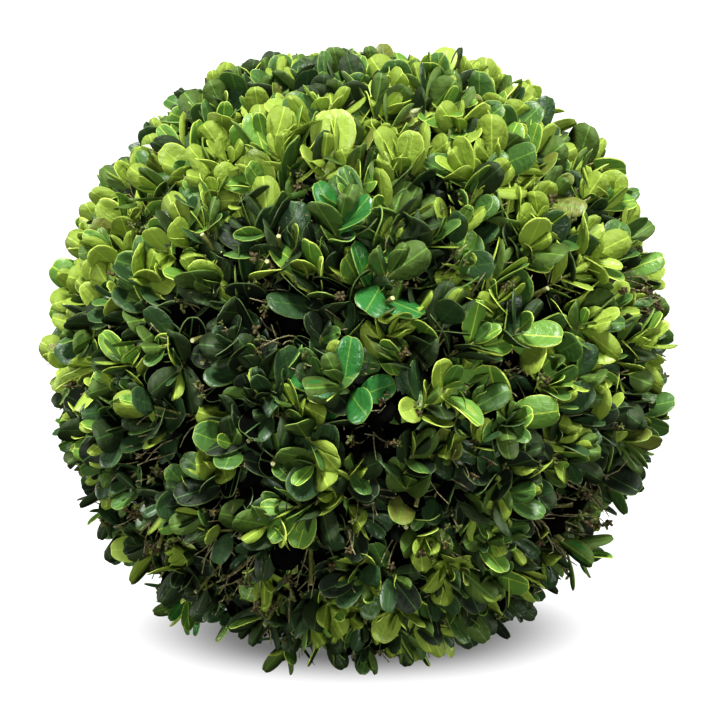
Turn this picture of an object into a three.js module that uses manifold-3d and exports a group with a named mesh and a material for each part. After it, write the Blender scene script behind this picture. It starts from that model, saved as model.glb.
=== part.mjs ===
// A box topiary ball: common box clipped to one dense round ball that sits right down on the ground.
// A short main stem stands hidden inside it and forks into eleven boughs. Each bough carries one
// mass of foliage: shoots that branch from the mass's own stem, box leaves in opposite pairs along
// the shoots, and a smaller core of old crowded wood that the shoots stand out of.
// Millimetres, +Z up. The origin is the centre of the stem's flat cut at ground level.

import * as THREE from "three";
import { mergeVertices } from "three/addons/utils/BufferGeometryUtils.js";
import Module from "manifold-3d";

const wasm = await Module();
wasm.setup();

// The ball
const BALL_RADIUS = 127; // to the furthest leaf tips
const BALL_CENTRE = new THREE.Vector3(0, 0, 124); // the ball is pressed a little flat on the ground
const CORE_RADIUS = 101; // outside of the masses' dense cores
const HOLLOW_RADIUS = 80; // inside them the ball is open, with bare boughs only
const CORE_DETAIL = 2; // subdivisions of the cores' round outer faces
const HOLLOW_DETAIL = 0; // and of their inner ones

// The main stem, with its rings level so that its foot is cut flat
const STEM_HEIGHT = 98;
const STEM_RADIUS = 8.5; // above the root flare
const STEM_TOP_RADIUS = 6;
const FLARE = 5; // how far the root flare widens the stem at the ground
const FLARE_HEIGHT = 7; // the flare falls to about a third over this height
const STEM_LEAN = new THREE.Vector2(5, -3); // how far the top stands from over the foot
const STEM_SIDES = 12;
const STEM_STEPS = 8;
const STEM_HOLE_RADIUS = 21; // the way that the cores leave open round the stem

// The boughs and the stem of each mass
const BOUGH_REACH = 58; // from the ball's centre to a bough's tip
const BOUGH_BEND = 20; // length of a bough's straight arrival at its tip
const BOUGH_ROOT_RADIUS = 3.2;
const BOUGH_TIP_RADIUS = 2.3;
const BOUGH_SIDES = 6;
const BOUGH_STEPS = 4;
const MASS_STEM_RADIUS = 2;
const MASS_STEM_END = 86; // how far from the ball's centre its shoots branch off
const MASS_STEM_BEND = 10; // length of its straight start off the bough's tip
const SEAT_GAP = 0.3; // clearance between pieces that touch

// The places of the masses round the ball: one on top and two rings
const RING_COUNT = 5;
const RINGS = {
  upper: { elevation: 24, turn: 14, boughRoot: 76, arrivalRise: 0 },
  lower: { elevation: -30, turn: 50, boughRoot: 50, arrivalRise: 0.5 },
};
const BOUGH_STAGGER = 5; // neighbouring boughs leave the stem this much above and below boughRoot
const MASS_MARGIN = 0.3; // what each mass keeps from the planes between it and its neighbours

// Shoots. The first flush is spread evenly over the whole ball, and the second one fills its gaps.
const SHOOT_SEED = 33;
const FLUSHES = [
  { count: 92, length: 19, turn: 0 },
  { count: 66, length: 14, turn: 1.1 },
];
const SHOOT_RADIUS = 1.5;
const SHOOT_TIP_RADIUS = 1;
const SHOOT_SIDES = 3;
const SHOOT_SUNK = 12; // how far a shoot runs straight inside the core before its knee
const SHOOT_TILT = [4, 34]; // degrees away from straight out
const SHOOT_JITTER = 4; // how far a shoot's foot strays from the even pattern
const SHOOT_EDGE = 8; // its least distance from the planes between masses
const LEAST_LEAVES = 3; // a shoot that finds room for fewer is left out

// Leaves, in opposite pairs
const PAIR_PLACES = [0.24, 0.58, 0.92]; // of the way from the core's face to the shoot's tip
const PAIR_SPREAD = [74, 64, 46]; // degrees between the shoot and the leaves of each pair
const PAIR_STEP = 2; // the second leaf of a pair stands this much further up the shoot
const LEAF_LENGTH = 34;
const LEAF_WIDTH = 23;
const TIP_WIDTH = 0.58; // of the blunt tip, as a share of the leaf's width
const LEAF_THICKNESS = 1.4;
const LEAF_CUP = 1.7; // how far the edges rise above the midrib
const LEAF_DROOP = 3; // how far the tip bends back
const LEAF_SUNK = 0.5; // how far a leaf's root passes the shoot's middle
const GROUND_GAP = 0.4; // no leaf comes nearer to the ground than this
const SLIVER = 0.02; // edges shorter than this are closed up

const UP = new THREE.Vector3(0, 0, 1);

// Numbers from 0 to 1 that are the same on every run.
function seededRandom(seed) {
  let state = seed >>> 0;
  return () => {
    state = (state + 0x6d2b79f5) >>> 0;
    let mixed = Math.imul(state ^ (state >>> 15), state | 1);
    mixed ^= mixed + Math.imul(mixed ^ (mixed >>> 7), mixed | 61);
    return ((mixed ^ (mixed >>> 14)) >>> 0) / 4294967296;
  };
}

function solidOf(geometry) {
  const bare = geometry.clone();
  bare.deleteAttribute("normal");
  bare.deleteAttribute("uv");
  const merged = mergeVertices(bare, 1e-4);
  return new wasm.Manifold(
    new wasm.Mesh({
      numProp: 3,
      vertProperties: new Float32Array(merged.attributes.position.array),
      triVerts: new Uint32Array(merged.index.array),
    }),
  );
}

function meshOf(name, solid, material) {
  const made = solid.getMesh();
  const geometry = new THREE.BufferGeometry();
  geometry.setAttribute("position", new THREE.BufferAttribute(made.vertProperties, made.numProp));
  geometry.setIndex(new THREE.BufferAttribute(made.triVerts, 1));
  geometry.computeVertexNormals();
  const mesh = new THREE.Mesh(geometry, material);
  mesh.name = name;
  return mesh;
}

function movedVertices(geometry, placeOf) {
  const position = geometry.getAttribute("position");
  const point = new THREE.Vector3();
  for (let i = 0; i < position.count; i++) {
    const placed = placeOf(point.fromBufferAttribute(position, i));
    position.setXYZ(i, placed.x, placed.y, placed.z);
  }
  return geometry;
}

// The middle of the main stem at a height.
function stemMiddle(height) {
  const share = height / STEM_HEIGHT;
  return new THREE.Vector3(STEM_LEAN.x * share * share, STEM_LEAN.y * share * share, height);
}

function stemRadius(height) {
  const taper = THREE.MathUtils.lerp(STEM_RADIUS, STEM_TOP_RADIUS, height / STEM_HEIGHT);
  return taper + FLARE * Math.exp(-height / FLARE_HEIGHT);
}

// The main stem, or with a clearance the space that the boughs keep from it.
function stemSolid(clearance) {
  const height = STEM_HEIGHT + clearance;
  const unit = new THREE.CylinderGeometry(1, 1, 1, STEM_SIDES, STEM_STEPS);
  return solidOf(
    movedVertices(unit, (point) => {
      const share = point.y + 0.5;
      const level = height * share ** 1.6; // rings crowd towards the flare
      const radius = stemRadius(level) + clearance;
      return stemMiddle(level).add(new THREE.Vector3(point.z * radius, point.x * radius, 0));
    }),
  );
}

// A tapering limb along a curve, cut square at both ends.
function limbGeometry(curve, rootRadius, tipRadius, sides, steps) {
  const frames = curve.computeFrenetFrames(steps, false);
  return movedVertices(new THREE.CylinderGeometry(1, 1, 1, sides, steps), (point) => {
    const share = point.y + 0.5;
    const step = Math.round(share * steps);
    const radius = THREE.MathUtils.lerp(rootRadius, tipRadius, share);
    return curve
      .getPointAt(share)
      .addScaledVector(frames.normals[step], point.x * radius)
      .addScaledVector(frames.binormals[step], -point.z * radius);
  });
}

// One mass and its bough: the mass's direction from the ball's centre, the height at which the
// bough leaves the stem, and the direction in which it arrives at the mass.
function massPlace(name, elevation, azimuth, boughRoot, arrivalRise) {
  const level = Math.cos(THREE.MathUtils.degToRad(elevation));
  const direction = new THREE.Vector3(
    Math.cos(THREE.MathUtils.degToRad(azimuth)) * level,
    Math.sin(THREE.MathUtils.degToRad(azimuth)) * level,
    Math.sin(THREE.MathUtils.degToRad(elevation)),
  );
  const arrival = direction.clone().addScaledVector(UP, arrivalRise).normalize();
  return { name, direction, boughRoot, arrival };
}

function massPlaces() {
  const places = [massPlace("top", 90, 0, STEM_HEIGHT + SEAT_GAP, 0)];
  for (const [ring, { elevation, turn, boughRoot, arrivalRise }] of Object.entries(RINGS)) {
    for (let i = 0; i < RING_COUNT; i++) {
      const azimuth = turn + (360 / RING_COUNT) * i;
      const root = boughRoot + BOUGH_STAGGER * (i % 2 ? 1 : -1);
      places.push(massPlace(`${ring}_${i + 1}`, elevation, azimuth, root, arrivalRise));
    }
  }
  return places;
}

function boughTip(place) {
  return BALL_CENTRE.clone().addScaledVector(place.direction, BOUGH_REACH);
}

// A bough springs from the stem and bends towards its mass. The topmost one carries on from the
// stem's tip, and the others are cut to sit on the stem's side.
function boughSolid(place, stemSpace) {
  const tip = boughTip(place);
  const root = stemMiddle(place.boughRoot);
  const bend = tip.clone().addScaledVector(place.arrival, -BOUGH_BEND);
  const curve = new THREE.QuadraticBezierCurve3(root, bend, tip);
  const bough = limbGeometry(curve, BOUGH_ROOT_RADIUS, BOUGH_TIP_RADIUS, BOUGH_SIDES, BOUGH_STEPS);
  return solidOf(bough).subtract(stemSpace);
}

// The plane between two masses, as the direction that leads out of the first one.
function wayOut(place, other) {
  return other.direction.clone().sub(place.direction).normalize();
}

// The dense core of a mass: its share of a thick round shell.
function coreSolid(place, places) {
  const round = (radius, detail) =>
    solidOf(new THREE.IcosahedronGeometry(radius, detail).translate(...BALL_CENTRE.toArray()));
  let core = round(CORE_RADIUS, CORE_DETAIL).subtract(round(HOLLOW_RADIUS, HOLLOW_DETAIL));
  const size = 4 * BALL_RADIUS;
  for (const other of places) {
    if (other === place) continue;
    const out = wayOut(place, other);
    const block = new THREE.BoxGeometry(size, size, size);
    block.translate(0, 0, size / 2 - MASS_MARGIN);
    block.applyQuaternion(new THREE.Quaternion().setFromUnitVectors(UP, out));
    block.translate(...BALL_CENTRE.toArray());
    core = core.subtract(solidOf(block));
  }
  const hole = new THREE.CylinderGeometry(STEM_HOLE_RADIUS, STEM_HOLE_RADIUS, BALL_CENTRE.z, STEM_SIDES);
  hole.rotateX(Math.PI / 2).translate(0, 0, BALL_CENTRE.z / 2);
  return core.subtract(solidOf(hole));
}

// Whether a point lies in the space of a mass: on its side of every plane between masses, inside
// the ball, over the ground and away from the main stem.
function keepsToSpace(point, place, places, slack) {
  const from = point.clone().sub(BALL_CENTRE);
  if (from.length() > BALL_RADIUS - slack) return false;
  if (point.z < GROUND_GAP + slack) return false;
  if (from.z < 0 && Math.hypot(point.x, point.y) < STEM_HOLE_RADIUS + slack) return false;
  return places.every(
    (other) => other === place || from.dot(wayOut(place, other)) < -MASS_MARGIN - slack,
  );
}

// A box leaf of ten faces: widest at its middle, with raised edges and a blunt tip that bends back.
// Its root lies at the origin, its length along +X and its upper face up.
function leafGeometry(length, width) {
  const CORNERS = 5; // the root, two at the middle and two at the tip
  return movedVertices(new THREE.SphereGeometry(1, CORNERS, 2), (point) => {
    const side = Math.abs(point.z) > 0.1 ? Math.sign(point.z) : 0;
    const isTip = side !== 0 && point.x > 0.5;
    const isMiddle = side !== 0 && !isTip;
    let along = side === 0 && point.x < -0.5 ? 0 : 0.5;
    if (isTip) along = 1;
    const halfWidth = (width / 2) * (isTip ? TIP_WIDTH : 1);
    const rise = isMiddle ? LEAF_CUP : (point.y * LEAF_THICKNESS) / 2;
    return new THREE.Vector3(along * length, -side * halfWidth, rise - LEAF_DROOP * along * along);
  });
}

// Lays a leaf with its root at a point, its length along one direction and its upper face
// towards another.
function placedLeaf(root, along, face, length, width) {
  const side = new THREE.Vector3().crossVectors(face, along).normalize();
  const upper = new THREE.Vector3().crossVectors(along, side);
  const turn = new THREE.Matrix4().makeBasis(along, side, upper).setPosition(root);
  return leafGeometry(length, width).applyMatrix4(turn);
}

function verticesOf(geometry) {
  const position = geometry.getAttribute("position");
  const points = [];
  for (let i = 0; i < position.count; i++) {
    points.push(new THREE.Vector3().fromBufferAttribute(position, i));
  }
  return points;
}

// The feet of one flush of shoots, spread evenly over the core's round face.
function shootFeet({ count, turn }, random) {
  const GOLDEN_ANGLE = Math.PI * (3 - Math.sqrt(5));
  const feet = [];
  for (let i = 0; i < count; i++) {
    const height = 1 - (2 * i + 1) / count;
    const across = Math.sqrt(1 - height * height);
    const azimuth = turn + i * GOLDEN_ANGLE;
    const foot = new THREE.Vector3(Math.cos(azimuth) * across, Math.sin(azimuth) * across, height);
    foot.multiplyScalar(CORE_RADIUS);
    foot.x += SHOOT_JITTER * (2 * random() - 1);
    foot.y += SHOOT_JITTER * (2 * random() - 1);
    foot.z += SHOOT_JITTER * (2 * random() - 1);
    feet.push(foot.setLength(CORE_RADIUS).add(BALL_CENTRE));
  }
  return feet;
}

// The foot moved in, where it lies closer than SHOOT_EDGE to a plane between masses.
function footInSpace(foot, place, places) {
  const from = foot.clone().sub(BALL_CENTRE);
  for (const other of places) {
    if (other === place) continue;
    const out = wayOut(place, other);
    const excess = from.dot(out) + SHOOT_EDGE;
    if (excess > 0) from.addScaledVector(out, -excess);
  }
  return from.setLength(CORE_RADIUS).add(BALL_CENTRE);
}

// The direction in which a shoot grows: outwards, tilted by a seeded amount to a seeded side.
function shootDirection(outward, random) {
  const sideways = new THREE.Vector3(random() - 0.5, random() - 0.5, random() - 0.5);
  sideways.addScaledVector(outward, -sideways.dot(outward)).normalize();
  const tilt = THREE.MathUtils.degToRad(THREE.MathUtils.lerp(...SHOOT_TILT, random()));
  return outward
    .clone()
    .multiplyScalar(Math.cos(tilt))
    .addScaledVector(sideways, Math.sin(tilt));
}

// A solid with the ball round it, so that most clear pairs are told apart without a cut.
function boundedSolid(geometry) {
  geometry.computeBoundingSphere();
  return { solid: solidOf(geometry), bound: geometry.boundingSphere };
}

function clearOf(piece, others) {
  return others.every(
    (other) => !piece.bound.intersectsSphere(other.bound) || piece.solid.intersect(other.solid).isEmpty(),
  );
}

// One leaf at a joint of a shoot. It is turned and shortened a little until it keeps to the
// mass's space and cuts into neither the core nor another leaf, and skipped if it never does.
function leafAtJoint(mass, laid, joint, way, side, spread) {
  const TRIES = 40;
  const SWING = 60; // degrees that a leaf may be turned about its shoot or tipped along it
  const LEAST_SCALE = 0.72;
  for (let attempt = 0; attempt < TRIES; attempt++) {
    const loose = attempt / (TRIES - 1);
    const about = THREE.MathUtils.degToRad(SWING * loose * (2 * mass.random() - 1));
    const angle = THREE.MathUtils.degToRad(spread + SWING * loose * (2 * mass.random() - 1));
    const outer = side.clone().applyAxisAngle(way, about);
    const along = way.clone().multiplyScalar(Math.cos(angle)).addScaledVector(outer, Math.sin(angle));
    const face = way.clone().multiplyScalar(Math.sin(angle)).addScaledVector(outer, -Math.cos(angle));
    const scale = THREE.MathUtils.lerp(1, LEAST_SCALE, loose * mass.random());
    const root = joint.clone().addScaledVector(along, -LEAF_SUNK);
    const geometry = placedLeaf(root, along, face, LEAF_LENGTH * scale, LEAF_WIDTH * scale);
    if (!verticesOf(geometry).every((point) => keepsToSpace(point, mass.place, mass.places, 0))) continue;
    const leaf = boundedSolid(geometry);
    if (leaf.solid.intersect(mass.core).isEmpty() && clearOf(leaf, [...mass.wood, ...laid])) return leaf;
  }
  return null;
}

// One shoot: it branches off the end of the mass's stem inside the core, comes out of the core at
// its foot and carries its leaves in opposite pairs, each pair turned a quarter from the last.
function growShoot(mass, foot, length) {
  const TRIES = 6;
  const outward = foot.clone().sub(BALL_CENTRE).normalize();
  for (let attempt = 0; attempt < TRIES; attempt++) {
    const way = shootDirection(outward, mass.random);
    const tip = foot.clone().addScaledVector(way, length);
    const knee = foot.clone().addScaledVector(way, -SHOOT_SUNK);
    if (![knee, tip].every((end) => keepsToSpace(end, mass.place, mass.places, SHOOT_RADIUS))) continue;
    const outer = new THREE.LineCurve3(knee, tip);
    const shoot = boundedSolid(limbGeometry(outer, SHOOT_RADIUS, SHOOT_TIP_RADIUS, SHOOT_SIDES, 1));
    if (!clearOf(shoot, [...mass.leaves, ...mass.wood])) continue;
    const firstSide = outer.computeFrenetFrames(1, false).normals[0].applyAxisAngle(way, Math.PI / 4);
    const laid = [...mass.leaves];
    PAIR_PLACES.forEach((share, pair) => {
      for (const half of [0, 1]) {
        const joint = foot.clone().addScaledVector(way, length * share + PAIR_STEP * (half - 0.5));
        const side = firstSide.clone().applyAxisAngle(way, Math.PI * (half + pair / 2));
        const leaf = leafAtJoint(mass, laid, joint, way, side, PAIR_SPREAD[pair]);
        if (leaf) laid.push(leaf);
      }
    });
    if (laid.length - mass.leaves.length < LEAST_LEAVES) continue;
    const inner = new THREE.LineCurve3(mass.branchPoint, knee);
    mass.wood.push(shoot);
    mass.hidden.push(solidOf(limbGeometry(inner, SHOOT_RADIUS, SHOOT_RADIUS, SHOOT_SIDES, 1)));
    mass.leaves = laid;
    return;
  }
}

// Joins solids two by two, which keeps every join small.
function joined(solids) {
  if (solids.length === 1) return solids[0];
  const half = Math.ceil(solids.length / 2);
  return joined(solids.slice(0, half)).add(joined(solids.slice(half)));
}

// The largest body of a solid: loose scraps are dropped, a hollow that was sealed is filled, and
// the slivers that the joins leave are closed up.
function largestBody(solid) {
  const bodies = solid.simplify(SLIVER).decompose();
  return bodies.reduce((best, body) => (body.volume() > best.volume() ? body : best));
}

// One mass of foliage: its stem from just off the bough's tip, its core, its shoots and leaves.
function massSolid(place, places, flushes, random) {
  const tip = boughTip(place);
  const start = tip.clone().addScaledVector(place.arrival, SEAT_GAP);
  const bend = tip.clone().addScaledVector(place.arrival, MASS_STEM_BEND);
  const branchPoint = BALL_CENTRE.clone().addScaledVector(place.direction, MASS_STEM_END);
  const stemCurve = new THREE.QuadraticBezierCurve3(start, bend, branchPoint);
  const stem = solidOf(limbGeometry(stemCurve, BOUGH_TIP_RADIUS, MASS_STEM_RADIUS, BOUGH_SIDES, 2));
  const core = coreSolid(place, places);
  const mass = { place, places, random, branchPoint, core, wood: [], hidden: [stem], leaves: [] };
  for (const flush of flushes) {
    const ownFeet = flush.feet.filter((foot) => nearestPlace(foot, places) === place);
    ownFeet.forEach((foot) => growShoot(mass, footInSpace(foot, place, places), flush.length));
  }
  const grown = [...mass.wood, ...mass.leaves].map((piece) => piece.solid);
  return largestBody(joined([core, ...mass.hidden, ...grown]));
}

// The mass that a shoot's foot belongs to: the one whose direction is nearest.
function nearestPlace(foot, places) {
  const from = foot.clone().sub(BALL_CENTRE);
  return places.reduce((best, place) =>
    from.dot(place.direction) > from.dot(best.direction) ? place : best,
  );
}

const bark = new THREE.MeshStandardMaterial({ color: 0x6f6350, roughness: 0.9, metalness: 0, flatShading: true });
const foliage = new THREE.MeshStandardMaterial({ color: 0x3f6a22, roughness: 0.45, metalness: 0, flatShading: true });

const random = seededRandom(SHOOT_SEED);
const places = massPlaces();
const stemSpace = stemSolid(SEAT_GAP);
const flushes = FLUSHES.map((flush) => ({ ...flush, feet: shootFeet(flush, random) }));

const topiaryBall = new THREE.Group();
topiaryBall.name = "box_topiary_ball";
topiaryBall.add(meshOf("main_stem", stemSolid(0), bark));
for (const place of places) {
  topiaryBall.add(meshOf(`bough_${place.name}`, boughSolid(place, stemSpace), bark));
  topiaryBall.add(meshOf(`foliage_${place.name}`, massSolid(place, places, flushes, random), foliage));
}

export default topiaryBall;
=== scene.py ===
# A box topiary ball, 25 cm across: common box clipped to one dense ball that sits on the ground.
# The ball is built in the order that it grows: the stem and its boughs, the twigs of each mass, the
# shoots, and the leaves in opposite pairs along them. Metres, with the ground at height 0.

import bpy
import numpy as np
from mathutils import Matrix, Vector, noise


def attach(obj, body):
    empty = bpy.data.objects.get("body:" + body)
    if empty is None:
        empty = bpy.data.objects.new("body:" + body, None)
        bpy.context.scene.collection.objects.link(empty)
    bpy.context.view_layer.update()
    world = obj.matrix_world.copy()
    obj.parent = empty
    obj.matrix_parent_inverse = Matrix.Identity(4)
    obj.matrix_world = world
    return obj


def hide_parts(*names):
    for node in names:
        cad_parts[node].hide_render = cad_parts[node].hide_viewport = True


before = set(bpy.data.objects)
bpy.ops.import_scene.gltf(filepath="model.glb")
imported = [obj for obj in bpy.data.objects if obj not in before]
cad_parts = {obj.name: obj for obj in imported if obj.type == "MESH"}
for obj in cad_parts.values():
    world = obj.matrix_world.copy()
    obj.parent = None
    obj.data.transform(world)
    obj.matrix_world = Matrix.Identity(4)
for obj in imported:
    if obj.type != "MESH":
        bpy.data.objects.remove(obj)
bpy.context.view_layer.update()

# ------------------
# The camera. It stands 0.7 m off on the ball's front side, a little above it, and looks down at
# its middle through a long lens.
BALL_CENTRE = Vector((0.0, 0.0, 0.124))
CAMERA_DISTANCE = 0.694
CAMERA_HEIGHT_ANGLE = np.radians(12)
AIM = BALL_CENTRE + Vector((0, 0, -0.001))
CAMERA_LENS = 85
CAMERA_SENSOR = 36
CAMERA_NEAREST = 0.01

camera_data = bpy.data.cameras.new("camera")
camera_data.lens = CAMERA_LENS
camera_data.sensor_width = CAMERA_SENSOR
camera_data.clip_start = CAMERA_NEAREST
camera = bpy.data.objects.new("camera", camera_data)
bpy.context.scene.collection.objects.link(camera)
camera.location = AIM + CAMERA_DISTANCE * Vector(
    (0, -np.cos(CAMERA_HEIGHT_ANGLE), np.sin(CAMERA_HEIGHT_ANGLE))
)
camera.rotation_euler = (np.pi / 2 - CAMERA_HEIGHT_ANGLE, 0, 0)
bpy.context.scene.camera = camera

# ------------------
# The main stem and the boughs, with finely fissured grey-brown bark. The short stem leans a little,
# flares at the ground and is cut flat there. Eleven boughs spring from it and bend out to the
# masses of foliage.
STEM_HEIGHT = 0.098
STEM_RADIUS = 0.0085
STEM_TOP_RADIUS = 0.006
STEM_LEAN = Vector((0.005, -0.003))
STEM_SIDES = 16
STEM_RINGS = 22
RINGS_CROWD = 1.6  # the rings crowd towards the flare, by this power
FLARE = 0.005
FLARE_HEIGHT = 0.007
BOUGH_REACH = 0.058  # from the ball's centre to a bough's tip
BOUGH_BEND = 0.020  # a bough's last stretch runs straight at its mass over this length
BOUGH_SIDES = 10
BOUGH_RINGS = 12
BOUGH_ROOT_RADIUS = 0.0032
BOUGH_TIP_RADIUS = 0.0023
BOUGH_SUNK = 0.004  # a bough starts this far inside the stem's bark
SEAT_GAP = 0.0003  # between a bough's tip and the stem of its mass
RING_COUNT = 5  # masses in each ring
RINGS = {  # elevation and first azimuth in degrees, height of the bough roots, rise on arrival
    "upper": (24, 14, 0.076, 0.0),
    "lower": (-30, 50, 0.050, 0.5),
}
BOUGH_STAGGER = 0.005  # every other bough springs this much higher or lower
FISSURE_STRETCH = 0.3  # fissures are this much finer across the limb than along it
UP = Vector((0, 0, 1))


class Socket:
    """An output of a shader node, with arithmetic that adds Math nodes."""

    def __init__(self, tree, output):
        self.tree, self.output = tree, output

    def maths(self, operation, other, swapped=False):
        ends = (other, self) if swapped else (self, other)
        return node(self.tree, "ShaderNodeMath", {"operation": operation}, dict(enumerate(ends)))

    def __add__(self, other):
        return self.maths("ADD", other)

    def __rsub__(self, other):
        return self.maths("SUBTRACT", other, True)

    def __mul__(self, other):
        return self.maths("MULTIPLY", other)

    def __rmul__(self, other):
        return self.maths("MULTIPLY", other, True)


def node(tree, kind, settings=None, inputs=None, output=0):
    """A shader node with its settings, and its inputs linked or set, as a Socket."""
    made = tree.nodes.new(kind)
    for name, value in (settings or {}).items():
        setattr(made, name, value)
    for name, value in (inputs or {}).items():
        if isinstance(value, Socket):
            tree.links.new(value.output, made.inputs[name])
        else:
            made.inputs[name].default_value = value
    return Socket(tree, made.outputs[output])


def linear(red, green, blue):
    """A colour given as it shows on a screen, from 0 to 255, as the linear values of a shader."""
    shares = np.array([red, green, blue]) / 255
    curve = np.where(shares <= 0.04045, shares / 12.92, ((shares + 0.055) / 1.055) ** 2.4)
    return tuple(float(value) for value in curve)


def finish(name, **values):
    """A material with its own Principled shader, and the shader's plain values set."""
    material = bpy.data.materials.new(name)
    material.use_nodes = True
    shader = material.node_tree.nodes["Principled BSDF"]
    for label, value in values.items():
        value = (*value, 1) if isinstance(value, tuple) else value
        shader.inputs[label.replace("_", " ")].default_value = value
    return material, material.node_tree, shader


def drive(tree, shader, label, socket):
    tree.links.new(socket.output, shader.inputs[label])


def bump(tree, height, strength, distance):
    inputs = {"Height": height, "Strength": strength, "Distance": distance}
    return node(tree, "ShaderNodeBump", {}, inputs)


def object_place(tree):
    return node(tree, "ShaderNodeTexCoord", output="Object")


def noise_of(tree, place, scale, detail):
    inputs = {"Vector": place, "Scale": scale, "Detail": detail}
    return node(tree, "ShaderNodeTexNoise", {}, inputs)


def ramp(tree, factor, stops):
    """A colour that runs through stops, each a place from 0 to 1 and a linear colour."""
    blend = node(tree, "ShaderNodeValToRGB", {}, {"Fac": factor})
    for stop, (place, colour) in zip(blend.output.node.color_ramp.elements, stops):
        stop.position, stop.color = place, (*colour, 1)
    return blend


def bark_finish():
    """Grey-brown bark with fissures that run up the limb, darker and rougher in the fissures."""
    material, tree, shader = finish("box_bark", Roughness=0.85)
    mapping = {"Vector": object_place(tree), "Scale": (1, 1, 0.22)}
    stretched = node(tree, "ShaderNodeMapping", {}, mapping)
    fissures = noise_of(tree, stretched, 900, 6)
    patches = noise_of(tree, stretched, 160, 3)
    tone = fissures * 0.7 + patches * 0.45
    stops = [(0.42, linear(58, 50, 38)), (0.72, linear(142, 128, 104))]
    drive(tree, shader, "Base Color", ramp(tree, tone, stops))
    drive(tree, shader, "Roughness", 0.95 - 0.2 * tone)
    drive(tree, shader, "Normal", bump(tree, fissures, 0.6, 0.0004))
    return material


def deselect_all():
    for thing in list(bpy.context.selected_objects):
        thing.select_set(False)
    bpy.context.view_layer.objects.active = None


def stem_middle(height):
    share = height / STEM_HEIGHT
    return Vector((STEM_LEAN.x * share**2, STEM_LEAN.y * share**2, height))


def stem_radius(height):
    taper = STEM_RADIUS + (STEM_TOP_RADIUS - STEM_RADIUS) * height / STEM_HEIGHT
    return taper + FLARE * np.exp(-height / FLARE_HEIGHT)


def curve(start, bend, end, share):
    """A point of the curve that leaves start towards bend and comes into end from there."""
    return start * (1 - share) ** 2 + bend * 2 * share * (1 - share) + end * share**2


def grown_limb(name, middles, radii, sides):
    """A limb that is extruded ring by ring along its middles, and turned and resized at each."""
    heading = (middles[1] - middles[0]).normalized()
    turn = UP.rotation_difference(heading).to_euler()
    deselect_all()
    bpy.ops.mesh.primitive_circle_add(
        vertices=sides, radius=radii[0], fill_type="NGON", location=middles[0], rotation=turn
    )
    limb = bpy.context.object
    limb.name = name
    bpy.ops.object.transform_apply()
    bpy.ops.object.mode_set(mode="EDIT")
    bpy.ops.mesh.select_all(action="SELECT")
    for i in range(1, len(middles)):
        step = middles[i] - middles[i - 1]
        bpy.ops.mesh.extrude_region_move(TRANSFORM_OT_translate={"value": step})
        size = radii[i] / radii[i - 1]
        bpy.ops.transform.resize(value=(size, size, size), center_override=middles[i])
        ahead = middles[min(i + 1, len(middles) - 1)] - middles[i]
        new_heading = (step + ahead).normalized()
        turn_axis = heading.cross(new_heading)
        if turn_axis.length > 1e-6:
            turn_limb_end(middles[i], turn_axis, heading.angle(new_heading))
            heading = new_heading
    bpy.ops.mesh.select_all(action="SELECT")
    bpy.ops.mesh.normals_make_consistent(inside=False)
    bpy.ops.object.mode_set(mode="OBJECT")
    return limb


def turn_limb_end(middle, axis, angle):
    """Turns the selected ring about an axis through its middle."""
    frame_of_axis = UP.rotation_difference(axis).to_matrix()
    bpy.ops.transform.rotate(
        value=-angle,
        orient_axis="Z",
        orient_matrix=frame_of_axis,
        orient_matrix_type="GLOBAL",
        center_override=middle,
    )


def bark_relief(limb, levels, depth, grain):
    """Fine fissures and knots raised in the limb's own mesh."""
    subdivision = limb.modifiers.new("rounder", "SUBSURF")
    subdivision.levels = subdivision.render_levels = levels
    subdivision.boundary_smooth = "PRESERVE_CORNERS"
    bpy.context.view_layer.objects.active = limb
    bpy.ops.object.modifier_apply(modifier=subdivision.name)
    for vertex in limb.data.vertices:
        x, y, z = vertex.co
        place = Vector((x * grain, y * grain, z * grain * FISSURE_STRETCH))
        rise = noise.noise(place) + 0.5 * noise.noise(place * 2.3)
        vertex.co += vertex.normal * (rise * depth)
        vertex.co.z = max(vertex.co.z, 0.0)


def smooth(thing):
    for face in thing.data.polygons:
        face.use_smooth = True


def joined_pieces(name, pieces):
    deselect_all()
    for piece in pieces:
        piece.select_set(True)
    bpy.context.view_layer.objects.active = pieces[0]
    bpy.ops.object.join()
    whole = bpy.context.object
    whole.name = name
    whole.data.name = name
    return whole


def direction_of(azimuth, elevation):
    azimuth, elevation = np.radians(azimuth), np.radians(elevation)
    level = np.cos(elevation)
    return np.array([np.cos(azimuth) * level, np.sin(azimuth) * level, np.sin(elevation)])


def mass_place(name, elevation, azimuth, bough_root, arrival_rise):
    """One mass and its bough: the direction, the bough's two ends and how it arrives."""
    direction = Vector(direction_of(azimuth, elevation))
    return {
        "name": name,
        "direction": direction,
        "bough_root": bough_root,
        "bough_tip": BALL_CENTRE + BOUGH_REACH * direction,
        "arrival": (direction + UP * arrival_rise).normalized(),
    }


masses = [mass_place("top", 90, 0, STEM_HEIGHT + SEAT_GAP, 0)]
for ring, (elevation, turn, root_height, rise) in RINGS.items():
    for i in range(RING_COUNT):
        azimuth = turn + 360 / RING_COUNT * i
        height = root_height + BOUGH_STAGGER * (1 if i % 2 else -1)
        masses.append(mass_place(f"{ring}_{i + 1}", elevation, azimuth, height, rise))

heights = [STEM_HEIGHT * (i / STEM_RINGS) ** RINGS_CROWD for i in range(STEM_RINGS + 1)]
stem = grown_limb(
    "main_stem_bark",
    [stem_middle(height) for height in heights],
    [stem_radius(height) for height in heights],
    STEM_SIDES,
)
bark_relief(stem, levels=2, depth=0.0005, grain=500)

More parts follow.
